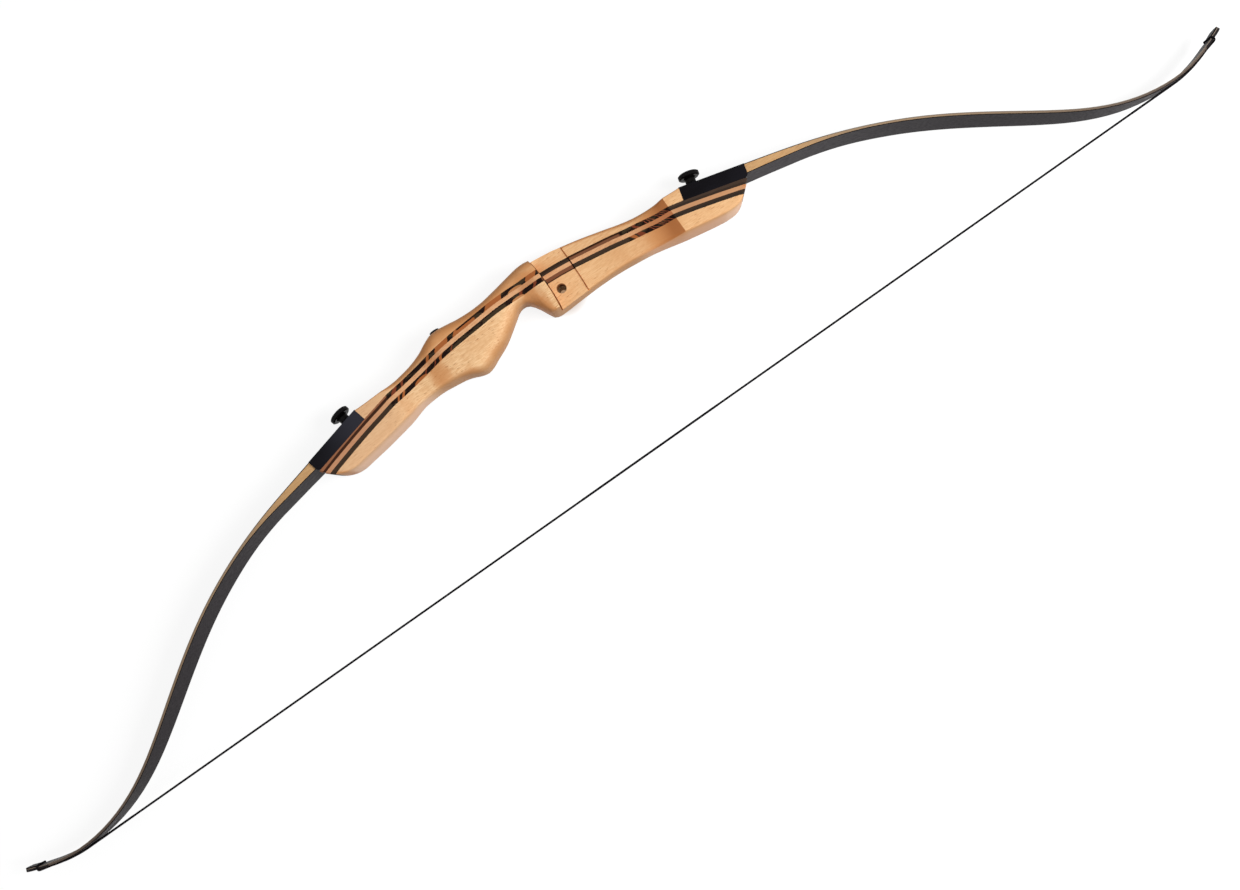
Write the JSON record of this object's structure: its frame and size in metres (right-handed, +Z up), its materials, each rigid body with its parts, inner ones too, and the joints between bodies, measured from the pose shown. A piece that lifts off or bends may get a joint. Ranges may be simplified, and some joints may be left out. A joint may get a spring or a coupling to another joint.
{
  "type": "recurve bow",
  "caption": "Takedown recurve bow, strung: laminated wood riser, curved limbs held in U-shaped pockets by bolts with fluted knobs, and a looped string in grooved limb tips.",
  "frame": {"origin": "on the surface that the bow lies on, under the middle of its bounding box", "axes": "+X along the string towards the upper limb tip, +Y from the string towards the back (target side), +Z up, out of the side with the sight window"},
  "size_m": [1.6742, 0.2652, 0.0486],
  "materials": {
    "beech": "satin lacquered pale wood",
    "dark_stripe": "satin lacquered dark wood",
    "centre_strip": "satin lacquered pinkish wood",
    "brass": "plain",
    "black_metal": "satin black",
    "steel": "plain",
    "pocket": "satin black",
    "back_glass": "gloss dark glass-fibre laminate",
    "belly_glass": "gloss dark grey glass-fibre laminate",
    "limb_core": "lacquered wood laminate",
    "tip_black": "gloss black",
    "knob": "satin black",
    "string": "waxed twisted strands",
    "serving": "wound thread"
  },
  "bodies": {
    "bow": {"riser_back_block": "beech", "riser_back_stripe": "dark_stripe", "riser_centre_strip": "centre_strip", "riser_belly_stripe": "dark_stripe", "riser_belly_block": "beech", "plunger_bushing": "brass", "stabilizer_bushing": "black_metal", "sight_bushings": "brass", "lower_limb_insert": "brass", "upper_limb_insert": "brass", "lower_limb_pocket": "pocket", "upper_limb_pocket": "pocket", "pocket_screws": "black_metal", "limb_alignment_pins": "steel", "lower_limb_back_glass": "back_glass", "lower_limb_core": "limb_core", "lower_limb_belly_glass": "belly_glass", "lower_tip_overlay": "tip_black", "upper_limb_back_glass": "back_glass", "upper_limb_core": "limb_core", "upper_limb_belly_glass": "belly_glass", "upper_tip_overlay": "tip_black", "bowstring": "string", "centre_serving": "serving", "lower_end_serving": "serving", "upper_end_serving": "serving"},
    "lower_washer": {"lower_bolt_washer": "black_metal"},
    "lower_bolt": {"lower_limb_bolt": "steel", "lower_bolt_knob": "knob"},
    "upper_washer": {"upper_bolt_washer": "black_metal"},
    "upper_bolt": {"upper_limb_bolt": "steel", "upper_bolt_knob": "knob"}
  },
  "joints": [
    {"name": "lower_bolt_travel", "type": "slide", "parent": "bow", "child": "lower_washer", "axis": [-0.2436, 0.9699, 0], "range_m": [0, 0.012]},
    {"name": "lower_bolt_spin", "type": "hinge", "parent": "lower_washer", "child": "lower_bolt", "pos_m": [-0.24414, 0.09836, 0.024], "axis": [-0.2436, 0.9699, 0], "range_deg": [0, 3456]},
    {"name": "upper_bolt_travel", "type": "slide", "parent": "bow", "child": "upper_washer", "axis": [0.2588, 0.9659, 0], "range_m": [0, 0.012]},
    {"name": "upper_bolt_spin", "type": "hinge", "parent": "upper_washer", "child": "upper_bolt", "pos_m": [0.24128, 0.09284, 0.024], "axis": [0.2588, 0.9659, 0], "range_deg": [0, 3456]}
  ],
  "couplings": [
    {"joint": "lower_bolt_spin", "follows": "lower_bolt_travel", "rad_per_m": 5026.5},
    {"joint": "upper_bolt_spin", "follows": "upper_bolt_travel", "rad_per_m": 5026.5}
  ]
}
